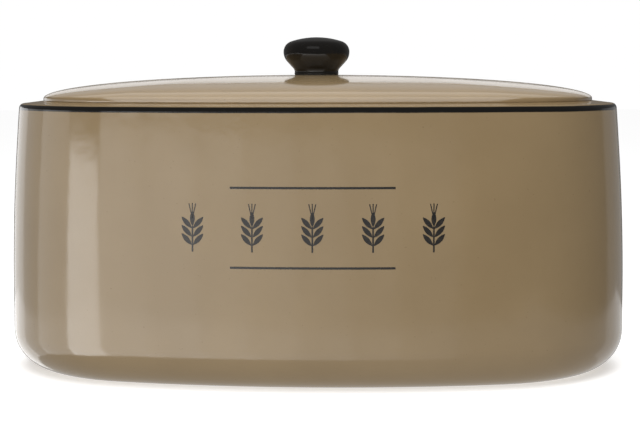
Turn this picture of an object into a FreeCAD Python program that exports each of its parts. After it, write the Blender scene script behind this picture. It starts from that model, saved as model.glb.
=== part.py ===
"""Oval ceramic bread crock with a lift-off domed lid and a knob screwed to it from inside.

Millimetres, +Z up. The origin is on the surface that the foot ring stands on, under the middle
of the oval. X runs along the crock, and its front faces -Y.
"""
import FreeCAD, Part
import math
import os
import re

import Sketcher

Vector = FreeCAD.Vector
UP = Vector(0, 0, 1)

SIZES = {
    # the oval, at the wall's widest outline
    "crock_half_length": 180.0,
    "crock_half_depth": 103.0,
    "side_bow": 11.0,               # half depth less the end arcs' radius: how far the sides bow out
    # the crock's wall, from foot to rim
    "foot_width": 9.0,
    "foot_recess": 2.0,             # the glazed floor stands this far off the table
    "foot_edge_radius": 1.5,
    "heel_radius": 23.0,
    "widest_height": 45.0,
    "rim_height": 155.0,
    "wall_draw_in": 4.8,            # the wall's lean inwards from its widest height to the rim
    "wall_thickness": 6.5,
    "floor_thickness": 6.0,
    "inner_heel_radius": 17.0,
    "floor_lap": 6.0,               # how far the wall's casting runs in past the foot ring
    # the shoulder, and the seat that the lid rests on
    "rim_corner_radius": 3.0,
    "shoulder_width": 14.2,
    "shoulder_rise": 1.4,
    "seat_width": 6.0,
    "shoulder_thickness": 6.4,
    "shoulder_root_radius": 8.0,
    # the lid
    "lid_edge_height": 1.4,
    "crown_rise": 13.4,
    "lid_thickness": 5.5,
    "flange_gap": 2.2,              # between the flange and the crock's mouth, all round
    "flange_thickness": 5.0,
    "flange_depth": 13.0,
    "flange_edge_radius": 2.0,
    "hollow_step": 1.5,             # the dome's hollow starts this far inside the flange
    "hollow_edge_rise": 2.0,
    "lid_hole_radius": 3.4,
    "land_margin": 0.6,             # the flat lands run this far past what sits on them
    "land_depth": 2.0,              # and this far into the dome
    # the knob
    "knob_waist_radius": 12.8,
    "knob_waist_height": 1.3,
    "knob_waist_sweep": 3.0,        # the radius of the hollow curve round the waist
    "knob_head_radius": 19.4,
    "knob_widest_height": 13.0,
    "knob_under_radius": 8.5,
    "knob_corner_radius": 6.5,
    "knob_crown_radius": 48.0,
    "knob_bore_depth": 12.0,
    # what fixes the knob
    "pad_thickness": 0.5,
    "pad_inset": 0.3,               # the pad stays inside the knob's base
    "insert_radius": 4.4,
    "insert_length": 10.0,
    "cement_gap": 0.1,
    "thread_radius": 2.5,
    "thread_gap": 0.05,
    "screw_length": 16.0,
    "screw_head_radius": 4.75,
    "screw_head_height": 3.0,
    "recess_length": 5.0,
    "recess_width": 1.1,
    "recess_depth": 1.8,
    "steel_washer_radius": 7.5,
    "steel_washer_thickness": 1.2,
    "cushion_washer_radius": 9.0,
    "cushion_washer_thickness": 1.6,
    "washer_gap": 0.3,              # round the screw, in both washers and the pad
}

# places that several pieces share, as expressions in the sheet's names
END_RADIUS = "(crock_half_depth - side_bow)"
END_CENTRE = f"(crock_half_length - {END_RADIUS})"
SIDE_RADIUS = (f"((crock_half_length^2 + crock_half_depth^2 - 2 * crock_half_length * {END_RADIUS})"
               " / (2 * side_bow))")
SIDE_CENTRE = f"({SIDE_RADIUS} - crock_half_depth)"
FLOOR_TOP = "(foot_recess + floor_thickness)"
FOOT_INSET = "(heel_radius + foot_width)"
WALL_TOP = "(rim_height - rim_corner_radius)"
SEAT_HEIGHT = "(rim_height + shoulder_rise)"
LID_INSET = "(wall_draw_in + shoulder_width)"
LIP_RADIUS = "(shoulder_thickness / 2)"
MOUTH_INSET = f"({LID_INSET} + seat_width + {LIP_RADIUS})"
FLANGE_INSET = f"({MOUTH_INSET} + flange_gap)"
HOLLOW_INSET = f"({FLANGE_INSET} + flange_thickness + hollow_step)"
LID_TOP = f"({SEAT_HEIGHT} + lid_edge_height + crown_rise)"
LID_UNDERSIDE = f"({LID_TOP} - lid_thickness)"
KNOB_BASE = f"({LID_TOP} + pad_thickness)"
KNOB_BASE_RADIUS = "(knob_waist_radius + knob_waist_sweep - sqrt(knob_waist_sweep^2 - knob_waist_height^2))"
SCREW_SEAT = f"({LID_UNDERSIDE} - cushion_washer_thickness - steel_washer_thickness)"

# the dome's sections climb a quarter ellipse, at even steps of its angle
CROWN_STEPS = 16
CROWN_STEP = 5.5

AXIS_LENGTH = "10"      # of the construction lines that sections turn about
LEAST_CUT = 1           # in cubic millimetres

doc = FreeCAD.newDocument("bread_crock")
sheet = doc.addObject("Spreadsheet::Sheet", "Sizes")
for row, (alias, size) in enumerate(SIZES.items(), 1):
    sheet.set(f"A{row}", str(size))
    sheet.setAlias(f"A{row}", alias)
doc.recompute()


def bound(text):
    """The expression with the sheet's name before each size in it."""
    return re.sub(r"[a-z]+_[a-z_]+", lambda name: "Sizes." + name.group(), text)


def value(text):
    """What an expression in the sheet's names comes to now, in millimetres."""
    return float(sheet.evalExpression(bound(text)))


# ---- sketches ----

def new_body(label):
    body = doc.addObject("PartDesign::Body", label)
    body.Label = label
    return body


def origin_plane(body, role):
    return next(feature for feature in body.Origin.OriginFeatures if feature.Role == role)


def sketch_on(body, name, role, height=None):
    sketch = body.newObject("Sketcher::SketchObject", name)
    sketch.AttachmentSupport = [(origin_plane(body, role), "")]
    sketch.MapMode = "FlatFace"
    if height is not None:
        sketch.setExpression(".AttachmentOffset.Base.z", bound(height))
    return sketch


def hold(sketch, kind, *where, size):
    """A dimension of the sketch that follows an expression."""
    number = sketch.addConstraint(Sketcher.Constraint(kind, *where, value(size)))
    sketch.setExpression(f"Constraints[{number}]", bound(size))


def hold_point(sketch, geometry, end, across, up):
    """Keep one end of a line or arc at (across, up)."""
    for kind, axis, size in (("DistanceX", -2, across), ("DistanceY", -1, up)):
        if size == "0":
            sketch.addConstraint(Sketcher.Constraint("PointOnObject", geometry, end, axis))
        else:
            hold(sketch, kind, -1, 1, geometry, end, size=size)


def arc_between(start, end, radius):
    """The short arc from start to end. It turns left, or right where the radius is negative."""
    half = (end - start) / 2
    rise = math.sqrt(radius ** 2 - half.Length ** 2)
    to_centre = UP.cross(half).normalize() * math.copysign(rise, radius)
    centre = start + half + to_centre
    first, last = (start, end) if radius > 0 else (end, start)
    angles = [math.atan2(spot.y - centre.y, spot.x - centre.x) for spot in (first, last)]
    if angles[1] < angles[0]:
        angles[1] += 2 * math.pi
    return Part.ArcOfCircle(Part.Circle(centre, UP, abs(radius)), *angles)


def draw_loop(sketch, corners):
    """A closed outline through corners (across, up), or (across, up, radius) where an arc leaves one.

    A radius that starts with a minus sign turns right.
    """
    spots = [Vector(value(corner[0]), value(corner[1]), 0) for corner in corners]
    ends = []
    for number, corner in enumerate(corners):
        start = spots[number]
        end = spots[(number + 1) % len(spots)]
        if len(corner) == 2:
            edge = sketch.addGeometry(Part.LineSegment(start, end))
            ends.append((edge, 1, 2))
        else:
            radius = corner[2]
            edge = sketch.addGeometry(arc_between(start, end, value(radius)))
            ends.append((edge, 2, 1) if radius.startswith("-") else (edge, 1, 2))
            hold(sketch, "Radius", edge, size=radius.lstrip("-"))
        hold_point(sketch, edge, ends[-1][1], corner[0], corner[1])
    for number, (edge, first, last) in enumerate(ends):
        next_edge, next_first = ends[(number + 1) % len(ends)][:2]
        sketch.addConstraint(Sketcher.Constraint("Coincident", edge, last, next_edge, next_first))


def draw_circle(sketch, radius):
    circle = sketch.addGeometry(Part.Circle(Vector(0, 0, 0), UP, value(radius)))
    sketch.addConstraint(Sketcher.Constraint("Coincident", circle, 3, -1, 1))
    hold(sketch, "Radius", circle, size=radius)


def oval_sketch(body, name, height, inset, share="1"):
    """The crock's four-arc oval, moved in by inset and then scaled by share."""
    sketch = sketch_on(body, name, "XY_Plane", height)
    end_radius = f"({END_RADIUS} - {inset}) * {share}"
    side_radius = f"({SIDE_RADIUS} - {inset}) * {share}"
    centres_apart = f"({SIDE_RADIUS} - {END_RADIUS})"
    across = f"({END_CENTRE} * {share} + {end_radius} * {END_CENTRE} / {centres_apart})"
    along = f"({end_radius} * {SIDE_CENTRE} / {centres_apart})"
    draw_loop(sketch, [
        (across, f"-{along}", end_radius),
        (across, along, side_radius),
        (f"-{across}", along, end_radius),
        (f"-{across}", f"-{along}", side_radius),
    ])
    return sketch


# ---- features ----

def pad(body, name, sketch, length):
    feature = body.newObject("PartDesign::Pad", name)
    feature.Profile = sketch
    feature.setExpression("Length", bound(length))
    return feature


def turn_section(body, name, sketch, axis, angle):
    feature = body.newObject("PartDesign::Revolution", name)
    feature.Profile = sketch
    feature.ReferenceAxis = (sketch, [axis])
    feature.Midplane = True
    feature.setExpression("Angle", bound(angle))
    return feature


def mirror(body, name, feature, role):
    copy = body.newObject("PartDesign::Mirrored", name)
    copy.Originals = [feature]
    copy.MirrorPlane = (origin_plane(body, role), [""])
    body.Tip = copy


def wall_round_oval(body, name, corners):
    """Turn one wall section about the oval's four centres. A corner is (inset, up) or adds a radius."""
    passes = (
        ("end", "XZ_Plane", "crock_half_length", END_CENTRE, f"2 * atan({SIDE_CENTRE} / {END_CENTRE})",
         "YZ_Plane"),
        ("side", "YZ_Plane", "crock_half_depth", f"-{SIDE_CENTRE}",
         f"2 * atan({END_CENTRE} / {SIDE_CENTRE})", "XZ_Plane"),
    )
    for where, role, reach, centre, angle, across in passes:
        section = sketch_on(body, f"{name}_{where}_section", role)
        draw_loop(section, [(f"{reach} - {inset}", *rest) for inset, *rest in corners])
        foot = Vector(value(centre), 0, 0)
        tip = foot + Vector(0, value(AXIS_LENGTH), 0)
        axis = section.addGeometry(Part.LineSegment(foot, tip), True)
        section.addConstraint(Sketcher.Constraint("Vertical", axis))
        section.addConstraint(Sketcher.Constraint("PointOnObject", axis, 1, -1))
        hold(section, "DistanceX", -1, 1, axis, 1, size=centre)
        hold(section, "DistanceY", axis, 1, axis, 2, size=AXIS_LENGTH)
        doc.recompute()
        turned = turn_section(body, f"{name}_{where}", section, "Axis0", angle)
        doc.recompute()
        mirror(body, f"{name}_{where}_mirrored", turned, across)
        doc.recompute()


def loft(body, kind, name, inset, foot, rise):
    """A dome over the oval, from its edge at foot up by rise."""
    sections = []
    for number in range(CROWN_STEPS + 1):
        angle = math.radians(number * CROWN_STEP)
        share = math.cos(angle)
        climb = math.sin(angle)
        height = f"{foot} + {rise} * {climb:.5f}"
        sections.append(oval_sketch(body, f"{name}_section_{number}", height, inset, f"{share:.5f}"))
    doc.recompute()
    feature = body.newObject(kind, name)
    feature.Profile = sections[0]
    feature.Sections = sections[1:]
    doc.recompute()
    return feature


def expect_less(before, after, what):
    """A cut that points the wrong way removes nothing and raises nothing."""
    if after > before - LEAST_CUT:
        raise RuntimeError(f"{what} cut nothing")


def ring_body(label, height, outer, inner, thickness):
    """A flat washer, from height up."""
    body = new_body(label)
    sketch = sketch_on(body, f"{label}_outline", "XY_Plane", height)
    draw_circle(sketch, outer)
    draw_circle(sketch, inner)
    doc.recompute()
    pad(body, f"{label}_pad", sketch, thickness)
    doc.recompute()
    return body


# ---- the crock ----

def crock():
    """Slip-cast body: foot ring, floor, leaning wall, inward shoulder and the lid's seat."""
    body = new_body("crock")
    lap = f"({FOOT_INSET} + floor_lap / 2)"
    floor = oval_sketch(body, "crock_floor_outline", "foot_recess", lap)
    doc.recompute()
    pad(body, "crock_floor", floor, "floor_thickness")
    doc.recompute()
    root = f"({SEAT_HEIGHT} - shoulder_thickness)"
    root_foot = f"({root} - shoulder_root_radius)"
    lean_radius = f"((({WALL_TOP} - widest_height)^2 + wall_draw_in^2) / (2 * wall_draw_in))"
    inner_lean = f"((({root_foot} - widest_height)^2 + wall_draw_in^2) / (2 * wall_draw_in))"
    wall_inside = "(wall_draw_in + wall_thickness)"
    lap_end = f"({FOOT_INSET} + floor_lap)"
    wall_round_oval(body, "crock_wall", [
        (f"({FOOT_INSET} - foot_edge_radius)", "0"),
        ("heel_radius", "0", "heel_radius"),
        ("0", "heel_radius"),
        ("0", "widest_height", lean_radius),
        ("wall_draw_in", WALL_TOP, "rim_corner_radius"),
        ("(wall_draw_in + rim_corner_radius)", "rim_height"),
        (LID_INSET, SEAT_HEIGHT),
        (f"({LID_INSET} + seat_width)", SEAT_HEIGHT, LIP_RADIUS),
        (MOUTH_INSET, f"{SEAT_HEIGHT} - {LIP_RADIUS}", LIP_RADIUS),
        (f"({LID_INSET} + seat_width)", root),
        (f"({wall_inside} + shoulder_root_radius)", root, "-shoulder_root_radius"),
        (wall_inside, root_foot, f"-{inner_lean}"),
        ("wall_thickness", "widest_height"),
        ("wall_thickness", f"{FLOOR_TOP} + inner_heel_radius", "-inner_heel_radius"),
        ("(wall_thickness + inner_heel_radius)", FLOOR_TOP),
        (lap_end, FLOOR_TOP),
        (lap_end, "foot_recess"),
        (FOOT_INSET, "foot_recess"),
        (FOOT_INSET, "foot_edge_radius", "foot_edge_radius"),
    ])
    return body


# ---- the lid ----

def lands(body):
    """Flat seats in the middle of the dome, above for the knob's pad and below for its washers."""
    top = sketch_on(body, "lid_top_land_outline", "XY_Plane", f"{LID_TOP} - land_depth")
    draw_circle(top, f"{KNOB_BASE_RADIUS} + land_margin")
    doc.recompute()
    pad(body, "lid_top_land", top, "land_depth")
    doc.recompute()
    landed = body.Shape.Volume
    underside = sketch_on(body, "lid_underside_land_outline", "XY_Plane", LID_UNDERSIDE)
    draw_circle(underside, "cushion_washer_radius + land_margin")
    doc.recompute()
    cut = body.newObject("PartDesign::Pocket", "lid_underside_land")
    cut.Profile = underside
    cut.setExpression("Length", bound("land_depth"))
    doc.recompute()
    expect_less(landed, body.Shape.Volume, "the washers' land")


def lid():
    """Domed casting: an upright edge on the seat, a flange inside the mouth, a screw hole on top."""
    body = new_body("lid")
    edge = oval_sketch(body, "lid_edge_outline", SEAT_HEIGHT, LID_INSET)
    doc.recompute()
    pad(body, "lid_edge", edge, "lid_edge_height")
    doc.recompute()
    loft(body, "PartDesign::AdditiveLoft", "lid_dome", LID_INSET,
         f"{SEAT_HEIGHT} + lid_edge_height", "crown_rise")
    flange_foot = f"({SEAT_HEIGHT} - flange_depth)"
    flange_inside = f"({FLANGE_INSET} + flange_thickness)"
    wall_round_oval(body, "lid_flange", [
        (FLANGE_INSET, SEAT_HEIGHT),
        (flange_inside, SEAT_HEIGHT),
        (flange_inside, f"{flange_foot} + flange_edge_radius", "flange_edge_radius"),
        (f"({flange_inside} - flange_edge_radius)", flange_foot),
        (f"({FLANGE_INSET} + flange_edge_radius)", flange_foot, "flange_edge_radius"),
        (FLANGE_INSET, f"{flange_foot} + flange_edge_radius"),
    ])
    solid_lid = body.Shape.Volume
    hollow_edge = oval_sketch(body, "lid_hollow_outline", SEAT_HEIGHT, HOLLOW_INSET)
    doc.recompute()
    hollow = body.newObject("PartDesign::Pocket", "lid_hollow_edge")
    hollow.Profile = hollow_edge
    hollow.Reversed = True
    hollow.setExpression("Length", bound("hollow_edge_rise"))
    doc.recompute()
    expect_less(solid_lid, body.Shape.Volume, "the hollow's edge")
    edged_lid = body.Shape.Volume
    hollow_rise = f"({LID_UNDERSIDE} - {SEAT_HEIGHT} - hollow_edge_rise)"
    loft(body, "PartDesign::SubtractiveLoft", "lid_hollow", HOLLOW_INSET,
         f"{SEAT_HEIGHT} + hollow_edge_rise", hollow_rise)
    expect_less(edged_lid, body.Shape.Volume, "the lid's hollow")
    lands(body)
    shell = body.Shape.Volume
    hole = sketch_on(body, "lid_hole_outline", "XY_Plane", LID_TOP)
    draw_circle(hole, "lid_hole_radius")
    doc.recompute()
    drilled = body.newObject("PartDesign::Pocket", "lid_hole")
    drilled.Profile = hole
    drilled.Type = "ThroughAll"
    doc.recompute()
    expect_less(shell, body.Shape.Volume, "the screw hole")
    return body


# ---- the knob and what holds it ----

def knob():
    """Flattened mushroom that narrows to a waist over its base, with a blind bore for the insert.

    A straight flank touches both the head's rounded underside and the hollow curve of the waist.
    """
    body = new_body("knob")
    section = sketch_on(body, "knob_section", "XZ_Plane")
    base = KNOB_BASE
    widest = f"({base} + knob_widest_height)"
    head_centre = "(knob_head_radius - knob_under_radius)"
    waist_centre = "(knob_waist_radius + knob_waist_sweep)"
    fall = "(knob_widest_height - knob_waist_height)"
    reach = f"({waist_centre} - {head_centre})"
    flank = (f"(asin((knob_under_radius + knob_waist_sweep) / sqrt({fall}^2 + {reach}^2))"
             f" - atan({reach} / {fall}))")
    corner_centre = "(knob_head_radius - knob_corner_radius)"
    centres_apart = "(knob_crown_radius - knob_corner_radius)"
    crown_drop = f"sqrt({centres_apart}^2 - {corner_centre}^2)"
    join = f"({corner_centre} * knob_crown_radius / {centres_apart})"
    join_height = f"({widest} + {crown_drop} * knob_corner_radius / {centres_apart})"
    top = f"({widest} + knob_crown_radius - {crown_drop})"
    bore_radius = "(insert_radius + cement_gap)"
    bore_top = f"({base} + knob_bore_depth)"
    draw_loop(section, [
        (bore_radius, base),
        (KNOB_BASE_RADIUS, base, "-knob_waist_sweep"),
        (f"({waist_centre} - knob_waist_sweep * cos({flank}))",
         f"({base} + knob_waist_height + knob_waist_sweep * sin({flank}))"),
        (f"({head_centre} + knob_under_radius * cos({flank}))",
         f"({widest} - knob_under_radius * sin({flank}))", "knob_under_radius"),
        ("knob_head_radius", widest, "knob_corner_radius"),
        (join, join_height, "knob_crown_radius"),
        ("0", top),
        ("0", bore_top),
        (bore_radius, bore_top),
    ])
    doc.recompute()
    turn_section(body, "knob_turned", section, "V_Axis", "360")
    doc.recompute()
    return body


def screw():
    """Pan-head machine screw, head down, with a cross recess."""
    body = new_body("knob_screw")
    section = sketch_on(body, "knob_screw_section", "XZ_Plane")
    head_foot = f"({SCREW_SEAT} - screw_head_height)"
    draw_loop(section, [
        ("0", head_foot),
        ("screw_head_radius - screw_head_height / 2", head_foot, "screw_head_height / 2"),
        ("screw_head_radius", f"{head_foot} + screw_head_height / 2"),
        ("screw_head_radius", SCREW_SEAT),
        ("thread_radius", SCREW_SEAT),
        ("thread_radius", f"{SCREW_SEAT} + screw_length"),
        ("0", f"{SCREW_SEAT} + screw_length"),
    ])
    doc.recompute()
    turn_section(body, "knob_screw_turned", section, "V_Axis", "360")
    doc.recompute()
    blank = body.Shape.Volume
    recess = sketch_on(body, "knob_screw_recess_outline", "XY_Plane", head_foot)
    arm = "recess_length / 2"
    side = "recess_width / 2"
    draw_loop(recess, [
        (arm, f"-{side}"), (arm, side), (side, side), (side, arm), (f"-{side}", arm), (f"-{side}", side),
        (f"-{arm}", side), (f"-{arm}", f"-{side}"), (f"-{side}", f"-{side}"), (f"-{side}", f"-{arm}"),
        (side, f"-{arm}"), (side, f"-{side}"),
    ])
    doc.recompute()
    pocket = body.newObject("PartDesign::Pocket", "knob_screw_recess")
    pocket.Profile = recess
    pocket.Reversed = True
    pocket.setExpression("Length", bound("recess_depth"))
    doc.recompute()
    expect_less(blank, body.Shape.Volume, "the screw's recess")
    return body


washer_bore = "thread_radius + washer_gap"
bodies = [
    crock(),
    lid(),
    knob(),
    ring_body("knob_pad", LID_TOP, f"{KNOB_BASE_RADIUS} - pad_inset", washer_bore, "pad_thickness"),
    ring_body("knob_insert", KNOB_BASE, "insert_radius", "thread_radius + thread_gap", "insert_length"),
    ring_body("cushion_washer", f"{LID_UNDERSIDE} - cushion_washer_thickness", "cushion_washer_radius",
              washer_bore, "cushion_washer_thickness"),
    ring_body("steel_washer", SCREW_SEAT, "steel_washer_radius", washer_bore, "steel_washer_thickness"),
    screw(),
]
doc.recompute()

for thing in doc.Objects:
    if "Invalid" in thing.State or "Error" in thing.State:
        raise RuntimeError(f"{thing.Name} failed: {thing.State}")
for body in bodies:
    shape = body.Shape
    if shape.isNull() or not shape.isValid() or len(shape.Solids) != 1:
        raise RuntimeError(f"{body.Label} is not one sound solid")

os.makedirs("parts", exist_ok=True)
for body in bodies:
    body.Shape.exportStep(f"parts/{body.Label}.step")
    print(f"{body.Label}: {body.Shape.Volume / 1000:.1f} cm3")
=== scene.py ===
"""Oval ceramic bread bin: a cream glazed crock with a black rim line and a printed front, a low domed
lid, and a black knob screwed to it from inside. Metres, in the frame's own axes: the front faces -Y.
"""
import math

import bmesh
import bpy
from mathutils import Matrix, Vector, noise
from mathutils.bvhtree import BVHTree


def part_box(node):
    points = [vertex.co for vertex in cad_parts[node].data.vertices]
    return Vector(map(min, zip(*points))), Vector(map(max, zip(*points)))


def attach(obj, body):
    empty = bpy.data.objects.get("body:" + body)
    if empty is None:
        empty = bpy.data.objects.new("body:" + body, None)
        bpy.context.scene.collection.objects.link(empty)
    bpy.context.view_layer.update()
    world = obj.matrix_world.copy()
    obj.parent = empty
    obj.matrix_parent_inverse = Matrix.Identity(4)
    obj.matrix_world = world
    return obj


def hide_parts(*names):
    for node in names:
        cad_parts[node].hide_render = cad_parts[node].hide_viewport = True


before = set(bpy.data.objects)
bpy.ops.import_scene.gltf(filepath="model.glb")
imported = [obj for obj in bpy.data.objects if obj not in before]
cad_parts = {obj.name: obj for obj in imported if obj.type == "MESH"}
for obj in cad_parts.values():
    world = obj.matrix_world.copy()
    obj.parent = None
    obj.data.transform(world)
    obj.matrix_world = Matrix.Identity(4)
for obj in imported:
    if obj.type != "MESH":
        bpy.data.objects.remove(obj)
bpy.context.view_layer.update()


# ------------------------------------------------------------------ crock
# One slip-cast pot: foot ring, floor, a wall that leans in towards the rim, and a shoulder turned
# inwards for the lid to sit on. The oval is drawn with four arcs, so a wall section is swept round
# it by spinning about each arc's centre. Drying and firing leave the wall very slightly uneven.

crock_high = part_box("crock")[1]
half_length = crock_high.x
half_depth = crock_high.y
seat_height = crock_high.z
side_bow = 0.011
end_radius = half_depth - side_bow
end_centre = half_length - end_radius
side_radius = (half_length ** 2 + half_depth ** 2 - 2 * half_length * end_radius) / (2 * side_bow)
side_centre = side_radius - half_depth
end_turn = math.atan2(side_centre, end_centre)

shoulder_rise = 0.0014
rim_height = seat_height - shoulder_rise
wall_draw_in = 0.0048
wall_thickness = 0.0065
widest_height = 0.045
heel_radius = 0.023
inner_heel_radius = 0.017
foot_width = 0.009
foot_recess = 0.002
foot_edge_radius = 0.0015
floor_thickness = 0.006
floor_top = foot_recess + floor_thickness
rim_corner_radius = 0.003
shoulder_width = 0.0142
seat_width = 0.006
shoulder_thickness = 0.0064
shoulder_root_radius = 0.008
lid_inset = wall_draw_in + shoulder_width
flat_ring_width = 0.004
unevenness = 0.00012
unevenness_scale = 11.0
uneven_fade = 0.02
even_edge = 0.004


def traced(corners, arc_step=math.radians(7), longest=0.006):
    """Points along a section of (across, up) corners, or (across, up, radius) where an arc leads on.

    A negative radius turns right.
    """
    points = []
    for corner, after in zip(corners, corners[1:] + corners[:1]):
        start = Vector(corner[:2])
        points.append(start)
        if len(corner) < 3:
            continue
        radius = corner[2]
        half = (Vector(after[:2]) - start) / 2
        rise = math.sqrt(max(radius ** 2 - half.length_squared, 0)) / half.length
        centre = start + half + Vector((-half.y, half.x)) * math.copysign(rise, radius)
        turn = 2 * math.asin(min(1, half.length / abs(radius)))
        steps = math.ceil(max(turn / arc_step, turn * abs(radius) / longest, 2))
        for step in range(1, steps):
            part = math.copysign(turn * step / steps, radius)
            points.append(centre + Matrix.Rotation(part, 2) @ (start - centre))
    return points


def spun_round_oval(points, end_steps=64, side_steps=44):
    """A section of (inset, up) points swept once round the oval."""
    bm = bmesh.new()
    start = Vector((end_centre, 0, 0))
    outwards = Vector((math.cos(end_turn), -math.sin(end_turn), 0))
    spots = [start + outwards * (end_radius - inset) + Vector((0, 0, up)) for inset, up in points]
    verts = [bm.verts.new(spot) for spot in spots]
    edges = [bm.edges.new(pair) for pair in zip(verts, verts[1:])]
    passes = (
        ((end_centre, 0, 0), 2 * end_turn, end_steps),
        ((0, -side_centre, 0), math.pi - 2 * end_turn, side_steps),
        ((-end_centre, 0, 0), 2 * end_turn, end_steps),
        ((0, side_centre, 0), math.pi - 2 * end_turn, side_steps),
    )
    last = verts + edges
    for centre, angle, steps in passes:
        spun = bmesh.ops.spin(bm, geom=last, cent=centre, axis=(0, 0, 1), angle=angle, steps=steps)
        last = spun["geom_last"]
    bmesh.ops.remove_doubles(bm, verts=bm.verts, dist=1e-6)
    return bm


def inset_at(spot):
    """How far inside the wall's widest outline a point lies."""
    side = Vector((abs(spot.x), abs(spot.y)))
    end = side - Vector((end_centre, 0))
    if math.atan2(end.y, end.x) <= end_turn:
        return end_radius - end.length
    return side_radius - (side + Vector((0, side_centre))).length


def make_uneven(bm, low, high):
    """Sinks the skin by a slow noise between two heights, fading out at both."""
    bm.normal_update()
    for vert in bm.verts:
        past_edge = min(vert.co.z - low, high - vert.co.z)
        fade = min(1, max(0, past_edge / uneven_fade))
        vert.co += vert.normal * unevenness * fade * (noise.noise(vert.co * unevenness_scale) - 1)


def add_piece(name, bm, body, slot, material, *stands_for):
    """Closes off a bmesh as a smooth piece of the object that rides on a body."""
    bmesh.ops.recalc_face_normals(bm, faces=bm.faces)
    mesh = bpy.data.meshes.new(name)
    bm.to_mesh(mesh)
    bm.free()
    mesh.shade_smooth()
    mesh.materials.append(material)
    piece = bpy.data.objects.new(name, mesh)
    bpy.context.scene.collection.objects.link(piece)
    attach(piece, body)
    if stands_for:
        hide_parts(*stands_for)
    return piece


def crock_section():
    """From the floor inside, up the wall and over the shoulder, and down the outside to the foot."""
    wall_inside = wall_draw_in + wall_thickness
    root = seat_height - shoulder_thickness
    root_foot = root - shoulder_root_radius
    wall_top = rim_height - rim_corner_radius
    lean = ((wall_top - widest_height) ** 2 + wall_draw_in ** 2) / (2 * wall_draw_in)
    inner_lean = ((root_foot - widest_height) ** 2 + wall_draw_in ** 2) / (2 * wall_draw_in)
    lip = shoulder_thickness / 2
    foot_inset = heel_radius + foot_width
    return traced([
        (wall_thickness + inner_heel_radius + flat_ring_width, floor_top),
        (wall_thickness + inner_heel_radius, floor_top, -inner_heel_radius),
        (wall_thickness, floor_top + inner_heel_radius),
        (wall_thickness, widest_height, -inner_lean),
        (wall_inside, root_foot, -shoulder_root_radius),
        (wall_inside + shoulder_root_radius, root),
        (lid_inset + seat_width, root, lip),
        (lid_inset + seat_width + lip, root + lip, lip),
        (lid_inset + seat_width, seat_height),
        (lid_inset, seat_height),
        (wall_draw_in + rim_corner_radius, rim_height, rim_corner_radius),
        (wall_draw_in, wall_top, lean),
        (0, widest_height),
        (0, heel_radius, heel_radius),
        (heel_radius, 0),
        (foot_inset - foot_edge_radius, 0, foot_edge_radius),
        (foot_inset, foot_edge_radius),
        (foot_inset, foot_recess),
        (foot_inset + flat_ring_width, foot_recess),
    ])


def close_flat(bm):
    """Fills each open rim with narrowing rings and a last flat face."""
    rims = [edge for edge in bm.edges if edge.is_boundary]
    for share_left in (0.75, 0.6, 0.4):
        grown = bmesh.ops.extrude_edge_only(bm, edges=rims)["geom"]
        verts = [item for item in grown if isinstance(item, bmesh.types.BMVert)]
        bmesh.ops.scale(bm, vec=(share_left, share_left, 1), verts=verts)
        rims = [item for item in grown if isinstance(item, bmesh.types.BMEdge) and item.is_boundary]
    bmesh.ops.edgeloop_fill(bm, edges=rims)


def node(tree, kind, where=None, **settings):
    """A shader node with its settings, and inputs set by name from where."""
    made = tree.nodes.new(kind)
    for name, setting in settings.items():
        setattr(made, name, setting)
    for name, value in (where or {}).items():
        if isinstance(value, bpy.types.NodeSocket):
            tree.links.new(value, made.inputs[name])
        else:
            made.inputs[name].default_value = value
    return made


def step_up(tree, value, start, end):
    """0 below start and 1 above end, as a socket."""
    ramp = node(tree, "ShaderNodeMapRange", {"Value": value, "From Min": start, "From Max": end})
    return ramp.outputs["Result"]


def maths(tree, operation, *numbers):
    """Two or three numbers or sockets worked into one socket."""
    made = node(tree, "ShaderNodeMath", dict(enumerate(numbers)), operation=operation)
    return made.outputs[0]


def mixed(tree, share, first, second):
    """Colour first, going to second as share rises."""
    made = node(tree, "ShaderNodeMix", data_type="RGBA")
    for number, value in ((0, share), (6, first), (7, second)):
        if isinstance(value, bpy.types.NodeSocket):
            tree.links.new(value, made.inputs[number])
        else:
            made.inputs[number].default_value = value
    return made.outputs[2]


def noise_at(tree, place, scale, detail=2.0, roughness=0.5):
    """A noise of scale waves to the metre, as a socket."""
    made = node(tree, "ShaderNodeTexNoise",
                {"Vector": place, "Scale": scale, "Detail": detail, "Roughness": roughness})
    return made.outputs["Fac"]


# the glaze: a warm cream over pale clay, a little uneven in depth, with a fine orange peel in its gloss
glaze_light = (0.352, 0.251, 0.133, 1)
glaze_deep = (0.326, 0.231, 0.121, 1)
glaze_speck = (0.220, 0.150, 0.078, 1)
black_glaze = (0.007, 0.006, 0.005, 1)
bare_clay = (0.560, 0.460, 0.340, 1)
bare_clay_dark = (0.448, 0.368, 0.272, 1)
glaze_ior = 1.52
glaze_roughness = 0.13
clay_roughness = 0.85
speck_strength = 0.45
band_depth = 0.0036
band_foot = rim_height - band_depth
band_reach_over_rim = 0.0014
band_inset = wall_draw_in + band_reach_over_rim
band_blur = 0.0003
brush_wander = 0.0007
bare_foot_height = 0.0009
brush_blur = 0.0002


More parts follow.
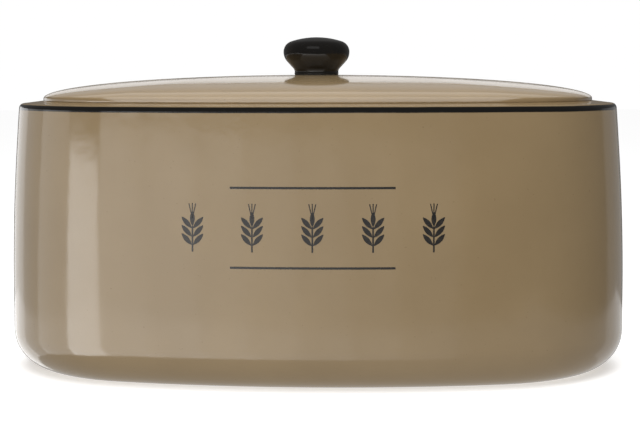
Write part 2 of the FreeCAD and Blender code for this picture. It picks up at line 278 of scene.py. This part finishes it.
def cream_glaze(name, banded):
    """Cream glaze. The crock's also has its rim line, brushed on by hand, and the foot ring's bare clay."""
    material = bpy.data.materials.new(name)
    material.use_nodes = True
    tree = material.node_tree
    shader = tree.nodes["Principled BSDF"]
    shader.inputs["IOR"].default_value = glaze_ior
    place = node(tree, "ShaderNodeTexCoord").outputs["Object"]
    clouds = noise_at(tree, place, scale=16, detail=5, roughness=0.6)
    colour = mixed(tree, step_up(tree, clouds, 0.36, 0.64), glaze_light, glaze_deep)
    specks = step_up(tree, noise_at(tree, place, scale=620, detail=1), 0.74, 0.80)
    colour = mixed(tree, maths(tree, "MULTIPLY", specks, speck_strength), colour, glaze_speck)
    gloss = noise_at(tree, place, scale=45, detail=3)
    roughness = node(tree, "ShaderNodeMapRange", {
        "Value": gloss, "From Min": 0.3, "From Max": 0.7,
        "To Min": glaze_roughness * 0.8, "To Max": glaze_roughness * 1.2,
    }).outputs["Result"]
    if banded:
        height = node(tree, "ShaderNodeSeparateXYZ", {0: place}).outputs["Z"]
        inset = node(tree, "ShaderNodeAttribute", attribute_name="inset").outputs["Fac"]
        waves = noise_at(tree, place, scale=24, detail=3)
        wander = maths(tree, "MULTIPLY_ADD", waves, brush_wander, -brush_wander / 2)
        wandering_height = maths(tree, "ADD", height, wander)
        wandering_inset = maths(tree, "ADD", inset, wander)
        above = step_up(tree, wandering_height, band_foot - brush_blur, band_foot + brush_blur)
        outside = step_up(tree, wandering_inset, band_inset + band_blur, band_inset - band_blur)
        colour = mixed(tree, maths(tree, "MULTIPLY", above, outside), colour, black_glaze)
        bare = step_up(tree, wandering_height, bare_foot_height + brush_blur, bare_foot_height - brush_blur)
        grit = noise_at(tree, place, scale=900, detail=3, roughness=0.7)
        clay = mixed(tree, grit, bare_clay, bare_clay_dark)
        colour = mixed(tree, bare, colour, clay)
        roughness = maths(tree, "MAXIMUM", roughness, maths(tree, "MULTIPLY", bare, clay_roughness))
    peel = noise_at(tree, place, scale=130, detail=2)
    bump = node(tree, "ShaderNodeBump", {"Strength": 0.25, "Distance": 0.0002, "Height": peel})
    tree.links.new(colour, shader.inputs["Base Color"])
    tree.links.new(roughness, shader.inputs["Roughness"])
    tree.links.new(bump.outputs["Normal"], shader.inputs["Normal"])
    return material


crock_bm = spun_round_oval(crock_section())
close_flat(crock_bm)
make_uneven(crock_bm, even_edge, rim_height - even_edge)
inset_layer = crock_bm.verts.layers.float.new("inset")
for vert in crock_bm.verts:
    vert[inset_layer] = inset_at(vert.co)
crock_skin = BVHTree.FromBMesh(crock_bm)
crock = add_piece("crock_pot", crock_bm, "crock", "cream_glaze", cream_glaze("crock_glaze", True), "crock")


# ------------------------------------------------------------------ front print
# Black enamel, printed as a transfer over the fired glaze and fired again: a row of five wheat ears
# between two plain rules. It follows the wall and stands less than a tenth of a millimetre proud.

print_across = 0.003
print_height = 0.0899
print_proud = 0.00008
print_sunk = 0.00015
rule_length = 0.089
rule_width = 0.0012
rule_rise = 0.0215
ear_count = 5
ear_pitch = 0.0325
ear_height = 0.0262
stem_width = 0.0009
grain_length = 0.0082
grain_width = 0.0027
grain_pairs = 3
grain_pitch = 0.0045
grain_lean = math.radians(42)
grain_drop = 0.25 * grain_pitch
grain_pointedness = 0.55
grain_edge_points = 18
awn_length = 0.0042
awn_width = 0.00055
awn_lean = math.radians(13)
strip_steps = 4
rule_steps = 24
enamel_dark = (0.011, 0.009, 0.007, 1)
enamel_light = (0.028, 0.022, 0.016, 1)
enamel_ior = 1.5
upright = Matrix.Rotation(math.pi / 2, 4, "X")
lying = Matrix.Rotation(math.pi / 2, 4, "Y")


def flat_strip(bm, width, height, steps, place):
    """A flat strip in the XZ plane, cut into steps along its height, put where place says."""
    strip = bmesh.ops.create_grid(bm, x_segments=1, y_segments=steps, size=0.5)["verts"]
    size = Matrix.Diagonal((width, height, 1, 1))
    bmesh.ops.transform(bm, matrix=place @ upright @ size, verts=strip)


def grain(bm, place):
    """A pointed grain in the XZ plane, its foot at the place's origin."""
    verts = bmesh.ops.create_circle(bm, cap_ends=True, segments=grain_edge_points, radius=0.5)["verts"]
    for vert in verts:
        vert.co.x *= 1 - (2 * vert.co.y) ** 2 * grain_pointedness
    shape = Matrix.Translation((0, 0, grain_length / 2)) @ upright
    size = Matrix.Diagonal((grain_width, grain_length, 1, 1))
    bmesh.ops.transform(bm, matrix=place @ shape @ size, verts=verts)


def wheat_ear(bm, across):
    """One upright ear: a stem, grains in pairs, one at the tip, and three awns above it."""
    foot = print_height - ear_height / 2
    stem_top = foot + ear_height - awn_length - grain_length
    stem_middle = Matrix.Translation((across, 0, (foot + stem_top) / 2))
    flat_strip(bm, stem_width, stem_top - foot, strip_steps, stem_middle)
    for pair in range(grain_pairs):
        height = stem_top - grain_drop - pair * grain_pitch
        for side in (-1, 1):
            root = Matrix.Translation((across + side * stem_width / 2, 0, height))
            grain(bm, root @ Matrix.Rotation(side * grain_lean, 4, "Y"))
    grain(bm, Matrix.Translation((across, 0, stem_top)))
    length = awn_length + grain_length / 2
    root = Matrix.Translation((across, 0, stem_top + grain_length / 2))
    for lean in (-awn_lean, 0, awn_lean):
        leaning = root @ Matrix.Rotation(lean, 4, "Y")
        flat_strip(bm, awn_width, length, strip_steps, leaning @ Matrix.Translation((0, 0, length / 2)))


def enamel():
    """Overglaze enamel: nearly black, a little less glossy than the glaze, with a fine grain."""
    material = bpy.data.materials.new("print_enamel")
    material.use_nodes = True
    tree = material.node_tree
    shader = tree.nodes["Principled BSDF"]
    shader.inputs["IOR"].default_value = enamel_ior
    place = node(tree, "ShaderNodeTexCoord").outputs["Object"]
    grit = noise_at(tree, place, scale=700, detail=3)
    colour = mixed(tree, step_up(tree, grit, 0.5, 0.8), enamel_dark, enamel_light)
    roughness = node(tree, "ShaderNodeMapRange", {
        "Value": grit, "From Min": 0.3, "From Max": 0.7, "To Min": 0.20, "To Max": 0.30,
    }).outputs["Result"]
    tree.links.new(colour, shader.inputs["Base Color"])
    tree.links.new(roughness, shader.inputs["Roughness"])
    return material


print_bm = bmesh.new()
for side in (-1, 1):
    rule_place = Matrix.Translation((print_across, 0, print_height + side * rule_rise)) @ lying
    flat_strip(print_bm, rule_width, rule_length, rule_steps, rule_place)
for ear in range(ear_count):
    wheat_ear(print_bm, print_across + (ear - (ear_count - 1) / 2) * ear_pitch)
outer_skin = list(print_bm.verts)
for vert in outer_skin:
    vert.co, wall_normal, *_ = crock_skin.ray_cast(Vector((vert.co.x, -1, vert.co.z)), Vector((0, 1, 0)))
    vert.co += wall_normal * print_proud
sunk_skin = bmesh.ops.extrude_face_region(print_bm, geom=print_bm.faces[:], use_keep_orig=True)["geom"]
for item in sunk_skin:
    if isinstance(item, bmesh.types.BMVert):
        item.co.y += print_proud + print_sunk
front_print = add_piece("front_print", print_bm, "crock", "black_glaze", enamel())
front_print.data.shade_flat()


# ------------------------------------------------------------------ lid
# One casting: an upright edge that stands on the crock's seat, a low dome, and a flange below that
# keeps it in the mouth. It is glazed all over.

lid_low, lid_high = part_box("lid")
lid_edge_height = 0.0014
crown_rise = lid_high.z - seat_height - lid_edge_height
crown_step = math.radians(3)
crown_steps = 26
lid_thickness = 0.0055
mouth_inset = lid_inset + seat_width + shoulder_thickness / 2
mouth_play = 0.0022
flange_inset = mouth_inset + mouth_play
flange_thickness = 0.005
flange_edge_radius = 0.002
hollow_set_back = 0.0015
hollow_inset = flange_inset + flange_thickness + hollow_set_back
hollow_edge_rise = 0.002
lid_edge_radius = 0.0003
upper_land_radius = 0.0137
lower_land_radius = 0.0096
lid_hole_radius = 0.0034


def lid_section():
    """From the dome's underside, round the flange, and out to the top of the upright edge."""
    flange_inside = flange_inset + flange_thickness
    flange_foot = lid_low.z
    return traced([
        (hollow_inset, seat_height + hollow_edge_rise),
        (hollow_inset, seat_height),
        (flange_inside, seat_height),
        (flange_inside, flange_foot + flange_edge_radius, -flange_edge_radius),
        (flange_inside - flange_edge_radius, flange_foot),
        (flange_inset + flange_edge_radius, flange_foot, -flange_edge_radius),
        (flange_inset, flange_foot + flange_edge_radius),
        (flange_inset, seat_height),
        (lid_inset + lid_edge_radius, seat_height, -lid_edge_radius),
        (lid_inset, seat_height + lid_edge_radius),
        (lid_inset, seat_height + lid_edge_height),
    ])


def raise_dome(bm, rim, rise):
    """Grows a dome from an oval rim in narrowing rings. Returns its last ring."""
    foot = sum(vert.co.z for edge in rim for vert in edge.verts) / (2 * len(rim))
    share = 1
    for step in range(1, crown_steps + 1):
        angle = step * crown_step
        grown = bmesh.ops.extrude_edge_only(bm, edges=rim)["geom"]
        verts = [item for item in grown if isinstance(item, bmesh.types.BMVert)]
        narrower = math.cos(angle) / share
        share = math.cos(angle)
        bmesh.ops.scale(bm, vec=(narrower, narrower, 1), verts=verts)
        for vert in verts:
            vert.co.z = foot + rise * math.sin(angle)
        rim = [item for item in grown if isinstance(item, bmesh.types.BMEdge) and item.is_boundary]
    return rim


def flatten_to_hole(bm, rim, land_radius, height):
    """Goes on from a dome's last ring over a round flat land to the edge of the screw hole."""
    for radius in (land_radius, lid_hole_radius):
        grown = bmesh.ops.extrude_edge_only(bm, edges=rim)["geom"]
        for item in grown:
            if isinstance(item, bmesh.types.BMVert):
                item.co = (item.co * Vector((1, 1, 0))).normalized() * radius + Vector((0, 0, height))
        rim = [item for item in grown if isinstance(item, bmesh.types.BMEdge) and item.is_boundary]
    return rim


lid_bm = spun_round_oval(lid_section())
open_rims = [edge for edge in lid_bm.edges if edge.is_boundary]
outer_rim = [edge for edge in open_rims if inset_at(edge.verts[0].co) < mouth_inset]
inner_rim = [edge for edge in open_rims if edge not in outer_rim]
underside = lid_high.z - lid_thickness
last_above = raise_dome(lid_bm, outer_rim, crown_rise)
last_below = raise_dome(lid_bm, inner_rim, underside - seat_height - hollow_edge_rise)
hole_above = flatten_to_hole(lid_bm, last_above, upper_land_radius, lid_high.z)
hole_below = flatten_to_hole(lid_bm, last_below, lower_land_radius, underside)
bmesh.ops.bridge_loops(lid_bm, edges=hole_above + hole_below)
lid = add_piece("lid_dome", lid_bm, "lid", "cream_glaze", cream_glaze("lid_glaze", False), "lid")


# ------------------------------------------------------------------ knob
# A flattened mushroom in solid porcelain with a separate black glaze, standing on a thin rubber pad.

knob_low, knob_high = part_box("knob")
knob_head_radius = knob_high.x
knob_widest_height = 0.013
knob_widest = knob_low.z + knob_widest_height
knob_under_radius = 0.0085
knob_corner_radius = 0.0065
knob_crown_radius = 0.048
knob_waist_radius = 0.0128
knob_waist_height = 0.0013
knob_waist_sweep = 0.003
knob_base_edge = 0.0004
knob_bore_radius = 0.0045
knob_bore_depth = 0.012
thin_black_glaze = (0.014, 0.011, 0.008, 1)


def knob_section():
    """From the middle of the bore's roof, out round the base and up to the middle of the crown."""
    bore_roof = knob_low.z + knob_bore_depth
    waist = Vector((knob_waist_radius + knob_waist_sweep, knob_low.z + knob_waist_height))
    base_radius = waist.x - math.sqrt(knob_waist_sweep ** 2 - knob_waist_height ** 2)
    under = Vector((knob_head_radius - knob_under_radius, knob_widest))
    apart = under - waist
    flank = math.asin((knob_under_radius + knob_waist_sweep) / apart.length) - math.atan2(-apart.x, apart.y)
    square_to_flank = Vector((math.cos(flank), -math.sin(flank)))
    corner_centre = knob_head_radius - knob_corner_radius
    centres_apart = knob_crown_radius - knob_corner_radius
    crown_drop = math.sqrt(centres_apart ** 2 - corner_centre ** 2)
    join = knob_corner_radius / centres_apart
    return traced([
        (0, bore_roof),
        (knob_bore_radius, bore_roof),
        (knob_bore_radius, knob_low.z),
        (base_radius - knob_base_edge, knob_low.z, knob_base_edge),
        (base_radius - knob_base_edge / 4, knob_low.z + knob_base_edge, -knob_waist_sweep),
        waist - square_to_flank * knob_waist_sweep,
        (*(under + square_to_flank * knob_under_radius), knob_under_radius),
        (knob_head_radius, knob_widest, knob_corner_radius),
        (corner_centre * (1 + join), knob_widest + crown_drop * join, knob_crown_radius),
        (0, knob_high.z),
    ], longest=0.0012)


def turned(points, steps):
    """A section of (radius, up) points spun once round the Z axis."""
    bm = bmesh.new()
    verts = [bm.verts.new((radius, 0, up)) for radius, up in points]
    edges = [bm.edges.new(pair) for pair in zip(verts, verts[1:])]
    bmesh.ops.spin(bm, geom=verts + edges, cent=(0, 0, 0), axis=(0, 0, 1), angle=2 * math.pi,
                   steps=steps, use_merge=True)
    bmesh.ops.remove_doubles(bm, verts=bm.verts, dist=1e-6)
    return bm


def knob_glaze():
    """Thick black glaze: glossy, with a soft orange peel and a faint brown where it breaks thin."""
    material = bpy.data.materials.new("knob_glaze")
    material.use_nodes = True
    tree = material.node_tree
    shader = tree.nodes["Principled BSDF"]
    shader.inputs["IOR"].default_value = glaze_ior
    place = node(tree, "ShaderNodeTexCoord").outputs["Object"]
    clouds = noise_at(tree, place, scale=90, detail=3)
    colour = mixed(tree, step_up(tree, clouds, 0.45, 0.75), black_glaze, thin_black_glaze)
    roughness = node(tree, "ShaderNodeMapRange", {
        "Value": clouds, "From Min": 0.3, "From Max": 0.7, "To Min": 0.10, "To Max": 0.17,
    }).outputs["Result"]
    bump = node(tree, "ShaderNodeBump", {
        "Strength": 0.3, "Distance": 0.0002, "Height": noise_at(tree, place, scale=260, detail=2),
    })
    tree.links.new(colour, shader.inputs["Base Color"])
    tree.links.new(roughness, shader.inputs["Roughness"])
    tree.links.new(bump.outputs["Normal"], shader.inputs["Normal"])
    return material


knob = add_piece("knob_head", turned(knob_section(), 96), "lid", "black_glaze", knob_glaze(), "knob")


# ------------------------------------------------------------------ knob pad and cushion washer
# Two moulded rubber rings, one above and one below the dome, so that the screw never pulls the
# knob or the steel washer hard against the glaze. Matt black, with a dusty bloom.


def grained(name, dark, light, smoothest, roughest, grain, stretch=(1, 1, 1), metallic=0.0):
    """A surface whose colour, roughness and relief follow one fine noise."""
    material = bpy.data.materials.new(name)
    material.use_nodes = True
    tree = material.node_tree
    shader = tree.nodes["Principled BSDF"]
    shader.inputs["Metallic"].default_value = metallic
    place = node(tree, "ShaderNodeTexCoord").outputs["Object"]
    place = node(tree, "ShaderNodeMapping", {"Vector": place, "Scale": stretch}).outputs["Vector"]
    grit = noise_at(tree, place, scale=grain, detail=4, roughness=0.6)
    roughness = node(tree, "ShaderNodeMapRange", {
        "Value": grit, "From Min": 0.3, "From Max": 0.7, "To Min": smoothest, "To Max": roughest,
    }).outputs["Result"]
    bump = node(tree, "ShaderNodeBump", {"Strength": 0.4, "Distance": 0.00002, "Height": grit})
    tree.links.new(mixed(tree, step_up(tree, grit, 0.35, 0.65), dark, light), shader.inputs["Base Color"])
    tree.links.new(roughness, shader.inputs["Roughness"])
    tree.links.new(bump.outputs["Normal"], shader.inputs["Normal"])
    return material


def dress(name, material):
    """Gives a solid of the frame, kept as it is, its material."""
    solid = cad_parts[name]
    solid.data.materials.clear()
    solid.data.materials.append(material)


rubber_black = (0.018, 0.018, 0.018, 1)
rubber_bloom = (0.034, 0.033, 0.032, 1)
rubber = grained("rubber", rubber_black, rubber_bloom, smoothest=0.62, roughest=0.80, grain=900)
dress("knob_pad", rubber)
dress("cushion_washer", rubber)


# ------------------------------------------------------------------ threaded insert
# A turned brass sleeve cemented into the knob's bore, which the screw runs into.

brass_dark = (0.60, 0.42, 0.17, 1)
brass_light = (0.74, 0.55, 0.25, 1)
brass = grained("brass", brass_dark, brass_light, smoothest=0.24, roughest=0.38, grain=260,
                stretch=(1, 1, 12), metallic=1.0)
dress("knob_insert", brass)


# ------------------------------------------------------------------ steel washer and screw
# A stamped washer and a pan-head machine screw, both bright zinc plated, seen only under the lid.

zinc_dark = (0.50, 0.50, 0.51, 1)
zinc_light = (0.66, 0.66, 0.66, 1)
plated = grained("plated_steel", zinc_dark, zinc_light, smoothest=0.22, roughest=0.40, grain=420,
                 stretch=(1, 1, 3), metallic=1.0)
dress("steel_washer", plated)
dress("knob_screw", plated)


# ------------------------------------------------------------------ studio
# A pale table and a white backdrop, soft boxes that light the pot, cards that only its gloss shows,
# and a camera before the front.

table_radius = 6
table_emission = 0.5
backdrop_radius = 8
world_strength = 0.13
wall_card_distance = 1.5
wall_card_height = 1.05
wall_card_up = -11


def plain(name, colour, strength):
    """A matt surface that also glows by strength."""
    material = bpy.data.materials.new(name)
    material.use_nodes = True
    shader = material.node_tree.nodes["Principled BSDF"]
    shader.inputs["Base Color"].default_value = colour
    shader.inputs["Roughness"].default_value = 0.8
    shader.inputs["Emission Color"].default_value = (1, 1, 1, 1)
    shader.inputs["Emission Strength"].default_value = strength
    return material


def staged(name, bm, material):
    """Makes a bmesh a thing of the studio, which is no part of the object."""
    mesh = bpy.data.meshes.new(name)
    bm.to_mesh(mesh)
    bm.free()
    mesh.materials.append(material)
    thing = bpy.data.objects.new(name, mesh)
    bpy.context.scene.collection.objects.link(thing)
    return thing


floor_bm = bmesh.new()
bmesh.ops.create_circle(floor_bm, cap_ends=True, segments=64, radius=table_radius)
floor = staged("table", floor_bm, plain("pale_table", (0.8, 0.8, 0.8, 1), table_emission))
for ray in ("diffuse", "glossy", "shadow"):
    setattr(floor, "visible_" + ray, False)

backdrop_bm = bmesh.new()
bmesh.ops.create_uvsphere(backdrop_bm, u_segments=32, v_segments=16, radius=backdrop_radius)
backdrop = staged("backdrop", backdrop_bm, plain("white_backdrop", (0, 0, 0, 1), 1.0))
for ray in ("diffuse", "glossy", "transmission", "shadow", "volume_scatter"):
    setattr(backdrop, "visible_" + ray, False)

world = bpy.data.worlds.new("studio")
world.use_nodes = True
world.node_tree.nodes["Background"].inputs["Color"].default_value = (1, 1, 1, 1)
world.node_tree.nodes["Background"].inputs["Strength"].default_value = world_strength
bpy.context.scene.world = world

middle = Vector((0, 0, seat_height / 2))


def soft_box(name, round_left, up, away, width, height, glow):
    """A soft box that the camera doesn't see, placed by degrees left of the front and above level."""
    lamp = bpy.data.lights.new(name, "AREA")
    lamp.shape = "RECTANGLE"
    lamp.size = width
    lamp.size_y = height
    lamp.energy = glow * math.pi * width * height
    box = bpy.data.objects.new(name, lamp)
    round_left, up = math.radians(round_left), math.radians(up)
    level = Vector((-math.sin(round_left), -math.cos(round_left), 0)) * math.cos(up)
    outwards = level + Vector((0, 0, math.sin(up)))
    box.location = middle + outwards * away
    box.rotation_euler = outwards.to_track_quat("Z", "Y").to_euler()
    box.visible_camera = False
    bpy.context.scene.collection.objects.link(box)
    return box


def show_only_to(cards, name, *things):
    """Keeps the cards to the gloss of some pieces, so that they light nothing."""
    seen_by = bpy.data.collections.new(name)
    for thing in things:
        seen_by.objects.link(thing)
    for card in cards:
        card.visible_diffuse = False
        card.light_linking.receiver_collection = seen_by


# what lights the bin: a soft box overhead, one before the front, and the table's own glow from below
soft_box("overhead", 0, 85, 1.3, 1.5, 0.8, 2.3).visible_glossy = False
soft_box("front_fill", 8, 35, 1.5, 0.8, 1.2, 4.3).visible_glossy = False
soft_box("table_glow", 0, -90, 0.13, 1.4, 1.2, 0.5)

# what its gloss shows: one small card for the knob, a ring of cards over the dome from low behind to
# high before it, and a wall of cards round the pot, brightest at the left. Each card of the wall
# reaches from a first to a last bearing, in degrees to the left of the front.
show_only_to([soft_box("knob_card", 12, 46, 1.8, 1.2, 0.7, 0.45)], "seen_by_knob", knob)
show_only_to([
    soft_box("low_back", 180, 15, 2.3, 2.6, 0.50, 0.95),
    soft_box("middle_back", 180, 38, 1.8, 3.6, 0.9, 0.5),
    soft_box("high_back", 180, 75, 1.6, 3.0, 1.36, 1.6),
    soft_box("high_front", 5, 42, 1.6, 3.0, 2.7, 3.4),
], "seen_by_lid", lid)
pot_cards = [soft_box("bright_strip", 58, -13, wall_card_distance, 0.66, 1.0, 5.0)]
for first, last, glow in (
    (-24, -13, 0.35), (-13, -4, 0.65), (-4, 5, 1.0), (5, 14, 1.4), (14, 23, 1.8), (23, 33, 2.2),
    (33, 45.5, 2.5), (70.5, 100, 1.6), (100, 122, 0.75), (122, 150, 1.3), (-155, -118, 0.25),
):
    wide = 2 * wall_card_distance * math.tan(math.radians(last - first) / 2)
    card = soft_box(f"card_{first}", (first + last) / 2, wall_card_up, wall_card_distance, wide,
                    wall_card_height, glow)
    pot_cards.append(card)
show_only_to(pot_cards, "seen_by_pot", crock, front_print, lid)

table_lamp = bpy.data.lights.new("table_lamp", "SUN")
table_lamp.energy = 1.5
table_lamp.angle = math.radians(70)
table_sun = bpy.data.objects.new("table_lamp", table_lamp)
bpy.context.scene.collection.objects.link(table_sun)
lit_by_lamp = bpy.data.collections.new("table_only")
lit_by_lamp.objects.link(floor)
table_sun.light_linking.receiver_collection = lit_by_lamp

camera_distance = 1.0395
camera_height = 0.1773
camera_offset = 0.0019
camera_turn = -0.0513
camera_tilt = 0.0845
camera_roll = -0.0016
camera_data = bpy.data.cameras.new("camera")
camera_data.sensor_width = 36
camera_data.lens = 98.98
camera = bpy.data.objects.new("camera", camera_data)
across = Vector((math.cos(camera_turn), -math.sin(camera_turn), 0))
forwards = Vector((math.sin(camera_turn), math.cos(camera_turn), 0))
camera.location = across * camera_offset - forwards * camera_distance + Vector((0, 0, camera_height))
turn_camera = Matrix.Rotation(-camera_turn, 3, "Z") @ Matrix.Rotation(math.pi / 2 - camera_tilt, 3, "X")
camera.rotation_euler = (turn_camera @ Matrix.Rotation(camera_roll, 3, "Z")).to_euler()
bpy.context.scene.collection.objects.link(camera)
bpy.context.scene.camera = camera
bpy.context.scene.view_settings.view_transform = "Standard"
